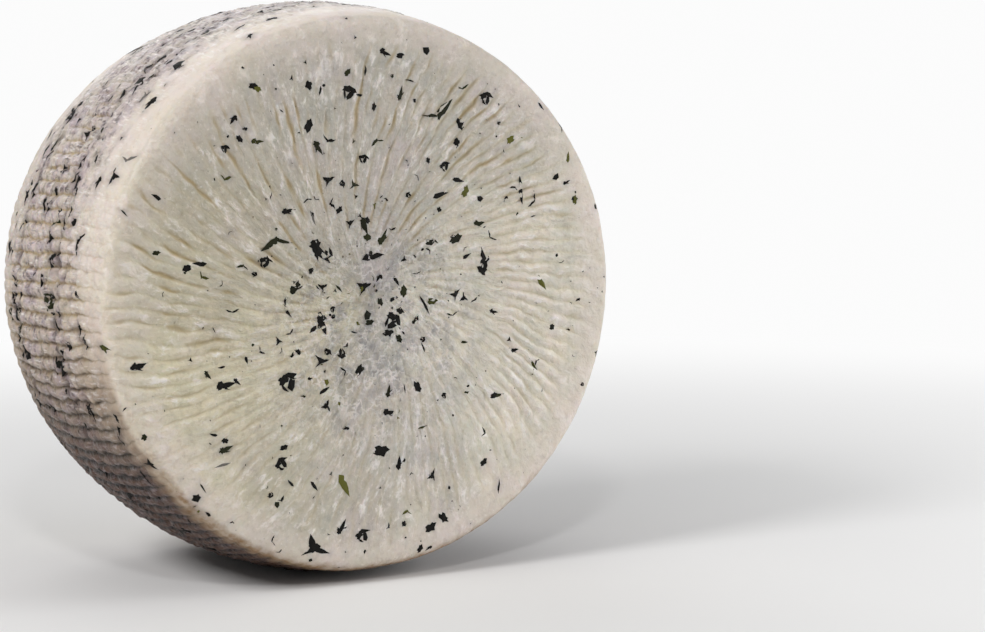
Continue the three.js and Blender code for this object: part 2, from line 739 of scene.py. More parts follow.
    def ribs(self, n: TreeWriter, point: SkinPoint, size: dict[str, Field]) -> tuple[Field, Field, Field]:
        """The ribs across the rim, the beads that they are pressed into, and the two hoops of the basket.

        Args:
            n: The writer of the group's tree.
            point: The point of the skin.
            size: The group's size inputs.

        Returns:
            The ribs' roundness, the beads' roundness, and the mask of the hoops.
        """
        phase = size["Rib Count"] * point.turn / (2 * math.pi) + size["Rib Slant"] * point.depth
        phase = phase + 0.25 * point.broad + 0.17 * point.fine
        rib = abs(n.math("SINE", phase * math.pi)) ** 0.6
        index = n.math("FLOORED_MODULO", n.math("FLOOR", phase), size["Rib Count"])
        stagger = n.field(n.add("ShaderNodeTexWhiteNoise", {"W": index}, noise_dimensions="1D"), "Value")
        row = point.depth / size["Bead Length"] + 1.6 * stagger + 0.9 * n.noise(point.place, 6.0)
        bead = abs(n.math("SINE", row * math.pi)) ** 0.7
        hoops = []
        for place in HOOP_PLACES:
            off = (point.depth - place + 3.5 * point.broad + 2.0 * point.fine) / 2.0
            hoops.append(n.math("EXPONENT", off * off * -1.0))
        broken = n.smooth(n.noise(point.place, 9.0), -0.4, 0.3)
        return rib, bead, n.math("MAXIMUM", hoops[0], hoops[1]) * broken


@dataclass(frozen=True)
class PasteFinish:
    """The damp, slightly see-through paste of the wheel, with its stains and tones, and painted shade and
    highlights.
    """

    ivory: Colour = linear(229, 219, 203)
    cream: Colour = linear(236, 226, 209)
    sage: Colour = linear(214, 211, 198)
    rose: Colour = linear(234, 221, 218)
    milk: Colour = linear(250, 244, 240)
    straw: Colour = linear(222, 212, 176)
    dusk: Colour = linear(204, 201, 194)
    pearl: Colour = linear(216, 216, 220)
    parchment: Colour = linear(190, 170, 146)
    ochre: Colour = linear(176, 152, 104)
    amber: Colour = linear(150, 120, 84)
    lilac: Colour = linear(184, 168, 175)
    ash: Colour = linear(154, 145, 130)
    # Plum stains the rim by the leaves and also paints shade into the rim's hollows and pits.
    plum: Colour = linear(66, 52, 52)
    # Umber and the dark gap brown colour the underside: partly browned skin, partly painted shade.
    umber: Colour = linear(94, 67, 52)
    soot: Colour = linear(30, 20, 17)
    slate: Colour = linear(138, 137, 144)
    olive: Colour = linear(186, 180, 118)
    speck: Colour = linear(46, 44, 34)
    blush: Colour = linear(214, 200, 196)
    roughness: float = 0.42
    subsurface: float = 0.3
    subsurface_radius: tuple[float, float, float] = (1.0, 0.62, 0.36)
    subsurface_scale: float = 0.0025
    refraction: float = 1.42
    damp: float = 0.85
    damp_roughness: float = 0.16

    def build(self, relief: Relief, centre: Vector) -> bpy.types.Material:
        """Builds the paste's material.

        Args:
            relief: The relief that the wheel's mesh follows.
            centre: The wheel's middle, in metres.

        Returns:
            The material.
        """
        material = bpy.data.materials.new("herbed_paste")
        material.use_nodes = True
        material.node_tree.nodes.clear()
        n = TreeWriter(material.node_tree)
        rest = n.field(n.add("ShaderNodeAttribute", attribute_name=REST), "Vector")
        place = n.vector("SCALE", n.vector("SUBTRACT", rest, tuple(centre)), scale=1 / MM)
        form = n.add("ShaderNodeGroup", node_tree=relief.group(TreeKind.SHADER))
        n.put(form.inputs["Point"], place)
        mask = {name: n.field(form, name) for name in Relief.OUTPUTS}
        point = SkinPoint.read(n, place)
        wet = n.smooth(n.noise(place, 4.0, 4.0, 0.6), -0.4, 0.7)
        dry = n.smooth(point.towards(n, BOTTOM), 0.2, 0.6) * (1.0 - mask["Face"])
        shoulder = n.smooth(point.reach, 79.0, 88.0) * n.smooth(point.reach, 97.0, 92.0)
        coat = wet * self.damp * (1.0 - shoulder) * n.blend(mask["Face"], 0.4, 1.0) * (1.0 - dry)
        surface = n.add(
            "ShaderNodeBsdfPrincipled",
            {
                "Base Color": self.colour(n, point, mask),
                "Roughness": n.blend(wet, self.roughness + 0.13, self.roughness - 0.12) + 0.2 * shoulder,
                "IOR": self.refraction,
                "Subsurface Weight": self.subsurface,
                "Subsurface Radius": self.subsurface_radius,
                "Subsurface Scale": self.subsurface_scale,
                "Coat Weight": coat,
                "Coat Roughness": self.damp_roughness,
                "Normal": self.normal(n, point, mask),
            },
        )
        n.add("ShaderNodeOutputMaterial", {"Surface": n.field(surface)})
        return material

    def colour(self, n: TreeWriter, point: SkinPoint, mask: dict[str, Field]) -> Field:
        """The paste's colour: ivory shoulders, sage and cream faces, ochre grooves and a plum-brown rim, with
        painted shade in the hollows and under the wheel and painted highlights on strands and ribs.

        Args:
            n: The writer of the material's tree.
            point: The point of the skin.
            mask: The relief's outputs.

        Returns:
            The colour.
        """
        place = point.place
        blotch = n.noise(place, 11.0, 3.0)
        mottle = n.noise(place, 2.8, 4.0, 0.65)
        fleck = n.smooth(n.noise(place, 1.3, 3.0, 0.65), 0.15, 0.85)
        heart = n.smooth(mask["Reach"] + 16.0 * point.towards(n, TOP), 58.0, 12.0)
        vein = n.smooth(n.cells(self.ruffled(n, place), 3.2, "DISTANCE_TO_EDGE"), 0.16, 0.02)
        vein = vein * heart * n.smooth(n.noise(place, 5.0), -0.4, 0.4)
        spread = n.smooth(point.reach, 6.0, 22.0)

        face = n.tint(n.smooth(blotch, -0.8, 0.6), self.sage, self.cream)
        face = n.tint(n.smooth(n.noise(place, 15.0, 3.0), -0.1, 0.7) * 0.6, face, self.rose)
        sunny = point.towards(n, LEFT + 10.0) + 0.5 * n.noise(place, 13.0, 3.0)
        face = n.tint(n.smooth(sunny, 0.0, 1.2) * 0.6, face, self.straw)
        dull = n.smooth(point.towards(n, TOP + 18.0) + 0.4 * point.broad, -0.2, 0.9)
        dull = n.math("MAXIMUM", dull, n.smooth(point.towards(n, BOTTOM - 6.0) + 0.3 * point.broad, 0.6, 1.1))
        face = n.toned(dull * 0.85, face, self.pearl)
        stringy = spread * n.smooth(n.noise(place, 13.0, 3.0), -0.7, 0.3)
        face = n.toned(n.smooth(mottle, -0.1, 0.9) * 0.6, face, self.dusk)
        # Darker between the strands: partly greyer paste, partly painted shade.
        face = n.toned(n.smooth(mask["Strand"], 0.0, -0.8) * stringy * 0.7, face, self.dusk)
        # Milky streaks on the strands: partly whiter paste, partly painted highlight.
        milky_streak_and_highlight = n.smooth(mask["Strand"], 0.0, 0.5) * stringy
        face = n.tint(n.math("MAXIMUM", milky_streak_and_highlight * 0.9, fleck * 0.65), face, self.milk)
        shoulder = n.tint(n.smooth(blotch, -0.7, 0.8) * 0.8, self.ivory, self.rose)
        shoulder = n.toned(n.smooth(mottle, -0.1, 1.0) * 0.55, shoulder, self.blush)
        shoulder = n.tint(fleck * 0.5, shoulder, self.milk)
        rounded = n.smooth(point.reach + 4.0 * point.fine + 3.0 * point.broad, 76.0, 90.0)
        paste = n.tint(n.math("MAXIMUM", 1.0 - mask["Face"], rounded * 0.6), face, shoulder)

        paste = self.rim_colour(n, point, mask, paste, blotch, mottle)
        groove = mask["Groove"] * n.smooth(n.noise(place, 9.0), -0.7, 0.2)
        # Yellower in the hollows between the folds: partly a straw tone, partly painted shade.
        paste = n.tint(mask["Face"] * (1.0 - mask["Fold"]) * 0.5, paste, self.straw)
        paste = n.tint(groove * 0.8, paste, self.ochre)

        stain = mask["Face"] * n.smooth(n.noise(place, 6.5, 4.0, 0.7), -0.3, 0.6) * heart * 0.7
        halo = n.field(n.add("ShaderNodeAttribute", attribute_name=STAIN), "Fac")
        soaked = halo * mask["Face"] * n.smooth(blotch, -0.2, 0.8) * 0.45
        paste = n.tint(halo * (1.0 - mask["Face"]) * n.smooth(blotch, -0.8, 0.6) * 0.5, paste, self.plum)
        paste = n.tint(n.math("MAXIMUM", stain, soaked), paste, self.slate)
        paste = n.tint(vein * mask["Face"] * 0.6, paste, self.milk)
        spots = mask["Face"] * n.smooth(n.noise(place, 15.0, 2.0), 0.6, 1.1)
        paste = n.tint(spots * 0.5, paste, self.olive)
        speck = 1.0 - n.smooth(n.cells(place, 4.6), 0.03, 0.055)
        speck = speck * n.smooth(n.noise(place, 12.0), -0.2, 0.4)
        return n.tint(speck * 0.85, paste, self.speck)

    @staticmethod
    def ruffled(n: TreeWriter, place: Field) -> Field:
        """The place with a small wavering shift that takes the straightness out of a pattern."""
        inputs = {"Vector": place, "Scale": 0.7, "Detail": 2.0}
        waver = n.field(n.add("ShaderNodeTexNoise", inputs), "Color")
        shift = n.vector("SCALE", n.vector("SUBTRACT", waver, (0.5, 0.5, 0.5)), scale=3.0)
        return n.vector("ADD", place, shift)

    def rim_colour(
        self,
        n: TreeWriter,
        point: SkinPoint,
        mask: dict[str, Field],
        paste: Field,
        blotch: Field,
        mottle: Field,
    ) -> Field:
        """The rim's tones over the paste's: cream ribs by the faces, lilac ones between, a brown underside
        that is partly painted shade, painted shade in the hollows and painted highlights on the ribs.

        Args:
            n: The writer of the material's tree.
            point: The point of the skin.
            mask: The relief's outputs.
            paste: The colour so far.
            blotch: Noise with blots of about 11 mm.
            mottle: Noise with blots of about 3 mm.

        Returns:
            The colour.
        """
        outside = 1.0 - mask["Face"]
        inward = ReliefSizes().half_thickness - abs(point.depth) + 4.0 * point.broad
        gap = n.smooth(1.0 - mask["Rib"], 0.12, 0.8)
        low = n.smooth(point.towards(n, BOTTOM) + 0.12 * point.broad, -0.25, 0.4)
        # Darker and warmer towards the bottom of the rim next to the faces: partly browner skin, partly
        # painted shade.
        paste = n.tint(outside * low * n.smooth(inward, 0.0, 5.0) * 0.8, paste, self.parchment)
        edge = n.smooth(inward, 16.0, 8.0) * n.smooth(point.reach + 1.5 * point.fine, 90.5, 93.5)
        worn = n.smooth(point.towards(n, BOTTOM - 8.0) + 0.15 * blotch + 0.1 * point.fine, 0.45, 0.9)
        paste = n.tint(edge * worn * n.blend(n.smooth(mottle, -0.5, 0.5), 0.5, 1.0), paste, self.amber)
        patch = n.noise(point.place, 7.0, 4.0, 0.65)
        inner = n.smooth(inward + 6.0 * point.fine, 12.0, 32.0)
        paste = n.tint(inner * n.smooth(patch, 0.1, -0.6) * 0.8, paste, self.ash)
        lilac = inner * n.smooth(patch, -0.3, 0.4)
        paste = n.tint(lilac * 0.8, paste, self.lilac)
        upper = inner * n.smooth(point.towards(n, TOP + 18.0), 0.66, 0.97)
        paste = n.tint(upper * n.smooth(mottle, 0.0, 0.7) * 0.55, paste, self.ash)
        paste = n.toned(upper * 0.5, paste, self.pearl)
        # Dark plum spots on the inner rim: painted shade of small pits.
        pit_shade = n.smooth(n.noise(point.place, 3.4, 4.0, 0.65), 0.1, -0.6) * inner
        paste = n.tint(n.math("MINIMUM", pit_shade * (0.85 + 0.3 * upper), 1.0), paste, self.plum)
        paste = n.tint(outside * gap * 0.65, paste, self.ochre)
        # Milky streaks along the rib tops: painted highlights of the wet skin.
        drawn = n.vector("MULTIPLY", point.place, (1.0, 0.2, 1.0))
        along = n.join(*(part * 0.85 for part in n.split(drawn)))
        milky_streak_and_highlight = n.smooth(n.noise(along, 1.0, 3.0, 0.6), 0.0, 0.7) * n.smooth(inward, 5.0, 12.0)
        paste = n.tint(milky_streak_and_highlight * (1.0 - gap) * 0.8, paste, self.milk)
        # Plum in the rib gaps, bead hollows and hoop lines: painted shade in the hollows.
        hollow_shade = n.math("MAXIMUM", gap, n.smooth(1.0 - mask["Bead"], 0.25, 0.9) * 0.75)
        hollow_shade = n.math("MAXIMUM", hollow_shade * n.smooth(low * 0.7 + lilac * 0.6, 0.1, 0.9), mask["Hoop"])
        paste = n.tint(hollow_shade * n.blend(n.smooth(blotch, -0.7, 0.5), 0.45, 0.9), paste, self.plum)
        # The underside: partly browned skin and partly painted shade where the wheel rests, darkest in the
        # rib gaps (painted shade), with lilac painted highlights on the rib tops.
        under = n.smooth(point.towards(n, BOTTOM) + 0.08 * point.broad + 0.05 * point.fine, 0.12, 0.64)
        underside_brown_and_shade = n.tint(n.smooth(mask["Rib"] + 0.35 * mottle, 0.45, 1.15), self.soot, self.umber)
        underside_brown_and_shade = n.tint(milky_streak_and_highlight * mask["Rib"] * 0.4, underside_brown_and_shade, self.lilac)
        return n.tint(outside * under * n.smooth(inward + 2.0 * point.fine, 1.0, 11.0), paste, underside_brown_and_shade)

    def normal(self, n: TreeWriter, point: SkinPoint, mask: dict[str, Field]) -> Field:
        """The fine texture of the skin: wrinkles everywhere, curds at the middle, strands and grooves.

        Args:
            n: The writer of the material's tree.
            point: The point of the skin.
            mask: The relief's outputs.

        Returns:
            The bumped normal.
        """
        place = point.place
        grain = n.noise(place, 0.9, 3.0, 0.6)
        wrinkle = n.noise(place, 2.2, 3.0, 0.55)
        curd = 1.0 - n.smooth(n.cells(self.ruffled(n, place), 2.2), 0.1, 0.8)
        heart = n.blend(n.smooth(mask["Reach"], 55.0, 12.0), 0.1, 1.0)
        height = 0.05 * grain + 0.17 * wrinkle + 0.38 * curd * mask["Face"] * heart
        ropy = n.blend(n.smooth(mask["Reach"], 75.0, 40.0), 0.3, 0.55)
        height = height + ropy * mask["Strand"] * mask["Face"] + 0.3 * wrinkle * mask["Rim"]
        height = height - 0.1 * mask["Groove"]
        return n.field(n.add("ShaderNodeBump", {"Strength": 1.0, "Distance": MM, "Height": height}))


@dataclass(frozen=True)
class HerbFinish:
    """Dried leaf that has soaked up whey: nearly black, a few bits still green and a few under grey film."""

    black: Colour = linear(12, 10, 6)
    green: Colour = linear(42, 45, 20)
    olive: Colour = linear(98, 98, 40)
    film: Colour = linear(112, 108, 102)
    roughness: float = 0.55
    shine: float = 0.18
    vein_depth: float = 0.12 * MM

    def build(self) -> bpy.types.Material:
        """Builds the leaves' material.

        Returns:
            The material.
        """
        material = bpy.data.materials.new("herb_leaf")
        material.use_nodes = True
        material.node_tree.nodes.clear()
        n = TreeWriter(material.node_tree)
        tone = n.field(n.add("ShaderNodeAttribute", attribute_name=TONE), "Fac")
        place = n.field(n.add("ShaderNodeTexCoord"), "Object")
        vein = n.noise(n.vector("SCALE", place, scale=1 / MM), 0.6, 3.0, 0.6)
        tone = tone + 0.07 * vein
        colour = n.tint(n.smooth(tone, 0.5, 0.72), self.black, self.green)
        colour = n.tint(n.smooth(tone, 0.76, 0.92), colour, self.olive)
        colour = n.tint(n.smooth(tone, 0.98, 1.08), colour, self.film)
        bump = n.add("ShaderNodeBump", {"Strength": 0.8, "Distance": self.vein_depth, "Height": vein})
        surface = n.add(
            "ShaderNodeBsdfPrincipled",
            {
                "Base Color": colour,
                "Roughness": self.roughness + 0.12 * vein,
                "Specular IOR Level": self.shine,
                "Normal": n.field(bump),
            },
        )
        n.add("ShaderNodeOutputMaterial", {"Surface": n.field(surface)})
        return material


class PasteBody:
    """The wheel's body: the turned shape with the relief pressed into it."""

    def __init__(self, shape: WheelShape, relief: Relief, finish: PasteFinish) -> None:
        """Keeps what the body is made from.

        Args:
            shape: The plain turned shape.
            relief: The ribs and folds.
            finish: The paste's finish.
        """
        self.shape = shape
        self.relief = relief
        self.finish = finish

    def tree(self) -> bpy.types.NodeTree:
        """Builds the geometry tree that presses the relief into the plain shape.

        Returns:
            The tree, with the relief's sizes as named inputs.
        """
        tree = bpy.data.node_groups.new("Press the mould", TreeKind.GEOMETRY.value)
        tree.interface.new_socket("Geometry", in_out="INPUT", socket_type="NodeSocketGeometry")
        tree.interface.new_socket("Geometry", in_out="OUTPUT", socket_type="NodeSocketGeometry")
        tree.interface.new_socket("Centre", in_out="INPUT", socket_type="NodeSocketVector")
        tree.interface.new_socket("Paste", in_out="INPUT", socket_type="NodeSocketMaterial")
        for name in self.relief.sizes.inputs():
            tree.interface.new_socket(name, in_out="INPUT", socket_type="NodeSocketFloat")
        n = TreeWriter(tree)
        source = n.add("NodeGroupInput")
        place = n.field(n.add("GeometryNodeInputPosition"))
        point = n.vector("SCALE", n.vector("SUBTRACT", place, n.field(source, "Centre")), scale=1 / MM)
        form = n.add("GeometryNodeGroup", node_tree=self.relief.group(TreeKind.GEOMETRY))
        n.put(form.inputs["Point"], point)
        for name in self.relief.sizes.inputs():
            n.put(form.inputs[name], n.field(source, name))
        stored = n.store(n.field(source, "Geometry"), REST, "FLOAT_VECTOR", place)
        normal = n.field(n.add("GeometryNodeInputNormal"))
        lift = n.vector("SCALE", normal, scale=n.field(form, "Height") * MM)
        pressed = n.add("GeometryNodeSetPosition", {"Geometry": stored, "Offset": lift})
        moved = n.field(n.add("GeometryNodeInputPosition"))
        rested = n.vector("MAXIMUM", moved, (-1.0, -1.0, 0.0))
        settled = n.add("GeometryNodeSetPosition", {"Geometry": n.field(pressed), "Position": rested})
        realized = n.add("GeometryNodeRealizeInstances", {"Geometry": n.field(settled)})
        dressed = n.add(
            "GeometryNodeSetMaterial",
            {"Geometry": n.field(realized), "Material": n.field(source, "Paste")},
        )
        n.add("NodeGroupOutput", {"Geometry": n.field(dressed)})
        return tree

    def build(self) -> bpy.types.Object:
        """Builds the wheel's mesh and thins it where it is smooth.

        Returns:
            The wheel's body.
        """
        plain = bpy.data.objects.new("plain_wheel", self.shape.mesh("plain_wheel"))
        bpy.context.scene.collection.objects.link(plain)
        values = dict(self.relief.sizes.inputs())
        values["Centre"] = self.shape.centre
        values["Paste"] = self.finish.build(self.relief, self.shape.centre)
        with_nodes(plain, self.tree(), values)
        pressed = made_plain(plain, "pressed_wheel")
        pressed.data.calc_loop_triangles()
        thin = pressed.modifiers.new("thin", "DECIMATE")
        thin.ratio = min(1.0, MOST_TRIANGLES / len(pressed.data.loop_triangles))
        return made_plain(pressed, "cheese_body")


@dataclass(frozen=True)
class PlacedLeaf:
    """One leaf that is large enough to have a place of its own.

    Attributes:
        form: Its shape.
        across: On a face, millimetres to the right of the axis; on the rim, the direction in degrees.
        along: On a face, millimetres above the axis; on the rim, millimetres behind the front face.
        length: Its length, in millimetres.
        spin: Its turn within the skin, in degrees.
        tone: Its shade, from 0 for black over 0.7 for green and 0.9 for olive to 1.2 for grey under a film.
    """

    form: LeafForm
    across: float
    along: float
    length: float
    spin: float = 0.0
    tone: float = 0.2


FRONT_LEAVES = (
    PlacedLeaf(LeafForm.CHIP, -43, 70, 3.2),
    PlacedLeaf(LeafForm.CLUSTER, -53, 50, 3.4),
    PlacedLeaf(LeafForm.CHIP, -48, 53, 3.0, -50),
    PlacedLeaf(LeafForm.RAGGED, -42, 52, 4.2, 0, 0.8),
    PlacedLeaf(LeafForm.CHIP, -23, 57, 4.6, 65),
    PlacedLeaf(LeafForm.RAGGED, -20, 50, 5.2, -60, 0.6),
    PlacedLeaf(LeafForm.BENT, -16, 52, 4.2, -20),
    PlacedLeaf(LeafForm.STAR, -16, 39, 4.4, 20),
    PlacedLeaf(LeafForm.CLUSTER, -3, 46, 3.8),
    PlacedLeaf(LeafForm.CLUSTER, -8, 68, 6.4, -15),
    PlacedLeaf(LeafForm.CHIP, 1, 63, 2.8, 80, 0.5),
    PlacedLeaf(LeafForm.SPLINTER, -2, 75, 3.2, 85),
    PlacedLeaf(LeafForm.BENT, 2, 52, 4.2, 200, 0.75),
    PlacedLeaf(LeafForm.RAGGED, -31, 29, 4.6, 10),
    PlacedLeaf(LeafForm.SPLINTER, -22, 27, 4.8, -70, 1.1),
    PlacedLeaf(LeafForm.CHIP, -12, 29, 3.0, 50),
    PlacedLeaf(LeafForm.BENT, -35, 20, 9.5, -170, 0.65),
    PlacedLeaf(LeafForm.CLUSTER, -39, 13, 5.0),
    PlacedLeaf(LeafForm.RAGGED, -20, 16, 9.5, -48),
    PlacedLeaf(LeafForm.SHARD, -62, 13, 4.6, 175),
    PlacedLeaf(LeafForm.CHIP, -77, 17, 2.6, 0, 0.65),
    PlacedLeaf(LeafForm.RAGGED, -28, 4, 6.5, 50, 0.6),
    PlacedLeaf(LeafForm.CURL, -32, -2, 8.0, -80),
    PlacedLeaf(LeafForm.CURL, -51, -3, 4.6, 0),
    PlacedLeaf(LeafForm.RAGGED, -3, 24, 5.5, -70, 0.6),
    PlacedLeaf(LeafForm.SHARD, 0, 13, 7.0, 5),
    PlacedLeaf(LeafForm.RAGGED, 4, 19, 5.5, 60, 0.75),
    PlacedLeaf(LeafForm.STAR, -3, 3, 6.0, 15, 0.4),
    PlacedLeaf(LeafForm.RAGGED, 5, 81, 4.4, -25),
    PlacedLeaf(LeafForm.CHIP, 11, 80, 3.2, 5),
    PlacedLeaf(LeafForm.RAGGED, 11, 67, 4.6, 75, 0.6),
    PlacedLeaf(LeafForm.BENT, 26, 60, 10.5, 25, 0.62),
    PlacedLeaf(LeafForm.CHIP, 34, 57, 4.4, -75, 0.5),
    PlacedLeaf(LeafForm.CLUSTER, 44, 66, 5.6, 10),
    PlacedLeaf(LeafForm.BENT, 35, 69, 4.0, 10, 0.78),
    PlacedLeaf(LeafForm.CLUSTER, 28, 43, 4.6, 30),
    PlacedLeaf(LeafForm.SHARD, 26, 33, 5.6, 15),
    PlacedLeaf(LeafForm.SHARD, 33, 38, 4.0, -10),
    PlacedLeaf(LeafForm.CHIP, 36, 34, 4.2, 70, 0.88),
    PlacedLeaf(LeafForm.SPLINTER, 58, 34, 8.5, -84),
    PlacedLeaf(LeafForm.CURL, 63, 30, 5.0, 60),
    PlacedLeaf(LeafForm.SHARD, 77, 45, 3.4, 85, 0.88),
    PlacedLeaf(LeafForm.SHARD, 66, 63, 3.0, -50),
    PlacedLeaf(LeafForm.CHIP, 80, 30, 3.2, 80, 0.85),
    PlacedLeaf(LeafForm.RAGGED, 41, 23, 4.4, 0, 0.65),
    PlacedLeaf(LeafForm.CHIP, 32, 18, 5.0, 15, 0.6),
    PlacedLeaf(LeafForm.CHIP, 22, 17, 3.6, 0, 0.6),
    PlacedLeaf(LeafForm.CURL, 46, 18, 4.6, -40),
    PlacedLeaf(LeafForm.RAGGED, 43, 9, 9.0, 96),
    PlacedLeaf(LeafForm.SHARD, 66, 2, 6.0, -50, 0.9),
    PlacedLeaf(LeafForm.STAR, 32, -1, 4.6, 40),
    PlacedLeaf(LeafForm.CHIP, 12, 1, 4.2, 85, 0.75),
    PlacedLeaf(LeafForm.RAGGED, -84, -19, 6.0, 10, 0.4),
    PlacedLeaf(LeafForm.RAGGED, -60, -23, 3.4, -50, 0.6),
    PlacedLeaf(LeafForm.RAGGED, -54, -27, 6.8, 8),
    PlacedLeaf(LeafForm.CLUSTER, -31, -27, 8.5, 20),
    PlacedLeaf(LeafForm.RAGGED, -19, -8, 7.6, -75),
    PlacedLeaf(LeafForm.STAR, -19, -21, 5.2, 0),
    PlacedLeaf(LeafForm.CHIP, -5, -25, 3.8, 60),
    PlacedLeaf(LeafForm.SHARD, -18, -31, 3.8, 30),
    PlacedLeaf(LeafForm.CHIP, -1, -9, 3.2, 10, 0.6),
    PlacedLeaf(LeafForm.RAGGED, -54, -48, 5.2, 20, 0.66),
    PlacedLeaf(LeafForm.SPLINTER, -55, -53, 5.2, 12, 1.08),
    PlacedLeaf(LeafForm.CLUSTER, -34, -54, 5.6, 50),
    PlacedLeaf(LeafForm.CHIP, -33, -49, 3.0, 20),
    PlacedLeaf(LeafForm.SHARD, -11, -63, 7.6, -65, 0.92),
    PlacedLeaf(LeafForm.SPLINTER, -62, -60, 3.6, -55, 0.6),
    PlacedLeaf(LeafForm.RAGGED, -12, -78, 5.4, 55),
    PlacedLeaf(LeafForm.CLUSTER, -4, -81, 6.0, 30),
    PlacedLeaf(LeafForm.STAR, -22, -84, 9.5, -25),
    PlacedLeaf(LeafForm.CLUSTER, 8, -9, 7.6, -40),
    PlacedLeaf(LeafForm.CHIP, 6, -13, 4.0, 0),
    PlacedLeaf(LeafForm.CHIP, 10, -15, 3.2, -60, 0.6),
    PlacedLeaf(LeafForm.SPLINTER, 20, -4, 6.5, -60),
    PlacedLeaf(LeafForm.CHIP, 23, -3, 3.8, 0, 0.82),
    PlacedLeaf(LeafForm.CURL, 31, -8, 5.0, 10),
    PlacedLeaf(LeafForm.CHIP, 17, -32, 4.4, -65, 0.5),
    PlacedLeaf(LeafForm.RAGGED, 6, -33, 4.2, 80, 0.6),
    PlacedLeaf(LeafForm.RAGGED, 6, -40, 5.0, 0),
    PlacedLeaf(LeafForm.CHIP, 3, -53, 6.0, 0),
    PlacedLeaf(LeafForm.SPLINTER, 19, -46, 3.6, 15, 0.8),
    PlacedLeaf(LeafForm.CHIP, 47, -37, 3.2, 20),
    PlacedLeaf(LeafForm.SPLINTER, 63, -27, 5.0, -55, 0.82),
    PlacedLeaf(LeafForm.RAGGED, 10, -58, 4.4, 80),
    PlacedLeaf(LeafForm.STAR, 23, -63, 4.2, 70),
    PlacedLeaf(LeafForm.CHIP, 43, -60, 3.4, 40),
    PlacedLeaf(LeafForm.SPLINTER, 49, -69, 4.2, 85),
    PlacedLeaf(LeafForm.CHIP, 22, -81, 4.8, 30),
    PlacedLeaf(LeafForm.CHIP, 27, -78, 4.4, -45),
    PlacedLeaf(LeafForm.CHIP, 18, -88, 3.4, 60),
)

RIM_LEAVES = (
    PlacedLeaf(LeafForm.RAGGED, 107, 17, 5.0, 10),
    PlacedLeaf(LeafForm.RAGGED, 115, 8, 4.0, 60),
    PlacedLeaf(LeafForm.SHARD, 103, 27, 4.0),
    PlacedLeaf(LeafForm.STAR, 137, 22, 4.6, 0, 1.15),
    PlacedLeaf(LeafForm.BENT, 151, 7, 6.0, 100, 1.15),
    PlacedLeaf(LeafForm.CHIP, 152, 25, 3.4, 20),
    PlacedLeaf(LeafForm.SHARD, 157, 32, 4.4, 5),
    PlacedLeaf(LeafForm.SPLINTER, 161, 1, 2.8, 60),
    PlacedLeaf(LeafForm.RAGGED, 127, 36, 5.0, 15),
    PlacedLeaf(LeafForm.CHIP, 128, 27, 3.0, 10),
    PlacedLeaf(LeafForm.RAGGED, 162, 52, 5.0, 10),
    PlacedLeaf(LeafForm.CHIP, 155, 48, 4.0, 0),
    PlacedLeaf(LeafForm.CLUSTER, 147, 42, 5.0, 0),
    PlacedLeaf(LeafForm.SPLINTER, 170, 32, 5.0, 5),
    PlacedLeaf(LeafForm.CHIP, 172, 36, 3.6, 0),
    PlacedLeaf(LeafForm.CHIP, 178, 17, 3.0, 20),
    PlacedLeaf(LeafForm.CLUSTER, 187, 14, 5.6, 10),
    PlacedLeaf(LeafForm.SHARD, 188, 3, 5.6, 60, 0.82),
    PlacedLeaf(LeafForm.CHIP, 188, 25, 3.6, 0),
    PlacedLeaf(LeafForm.RAGGED, 190, 31, 4.0, 0),
    PlacedLeaf(LeafForm.SPLINTER, 193, 39, 4.4, 5),
    PlacedLeaf(LeafForm.RAGGED, 201, 23, 6.4, 10),
    PlacedLeaf(LeafForm.CHIP, 201, 34, 3.6, 0),
    PlacedLeaf(LeafForm.CHIP, 202, 7, 3.2, 10),
    PlacedLeaf(LeafForm.SHARD, 205, 9, 3.4, -20),
    PlacedLeaf(LeafForm.CURL, 207, 11, 4.2, 10),
    PlacedLeaf(LeafForm.STAR, 213, 3, 5.0, 30),
    PlacedLeaf(LeafForm.CURL, 216, 11, 7.5, 5),
    PlacedLeaf(LeafForm.SPLINTER, 222, 15, 5.0, 5),
    PlacedLeaf(LeafForm.CURL, 230, 11, 5.0, 0),
    PlacedLeaf(LeafForm.RAGGED, 233, 24, 4.6, 10),
)


class Outline(Enum):
    """The outlines of single torn bits, as (degrees, reach) round the middle of a bit of length 1."""

    CHIP = (
        (8, 0.52), (30, 0.38), (48, 0.44), (78, 0.27), (104, 0.36), (140, 0.44),
        (162, 0.32), (186, 0.48), (226, 0.36), (262, 0.26), (296, 0.40), (334, 0.32),
    )
    SHARD = ((0, 0.58), (30, 0.27), (84, 0.18), (150, 0.36), (186, 0.50), (222, 0.28), (304, 0.20))
    SLIVER = (
        (0, 0.54), (24, 0.18), (90, 0.10), (160, 0.26), (182, 0.52), (204, 0.20), (276, 0.09), (338, 0.24),
    )
    CRUMB = ((20, 0.50), (88, 0.38), (160, 0.46), (230, 0.40), (300, 0.44))


@dataclass(frozen=True)
class LeafBit:
    """One torn bit of a leaf. Lengths are shares of the leaf's length.

    Attributes:
        outline: Its outline.
        along: How far its middle lies along the leaf.
        aside: How far its middle lies beside the leaf's middle line.
        size: Its length.
        spin: Its turn, in degrees.
    """

    outline: Outline
    along: float = 0.0
    aside: float = 0.0
    size: float = 1.0
    spin: float = 0.0


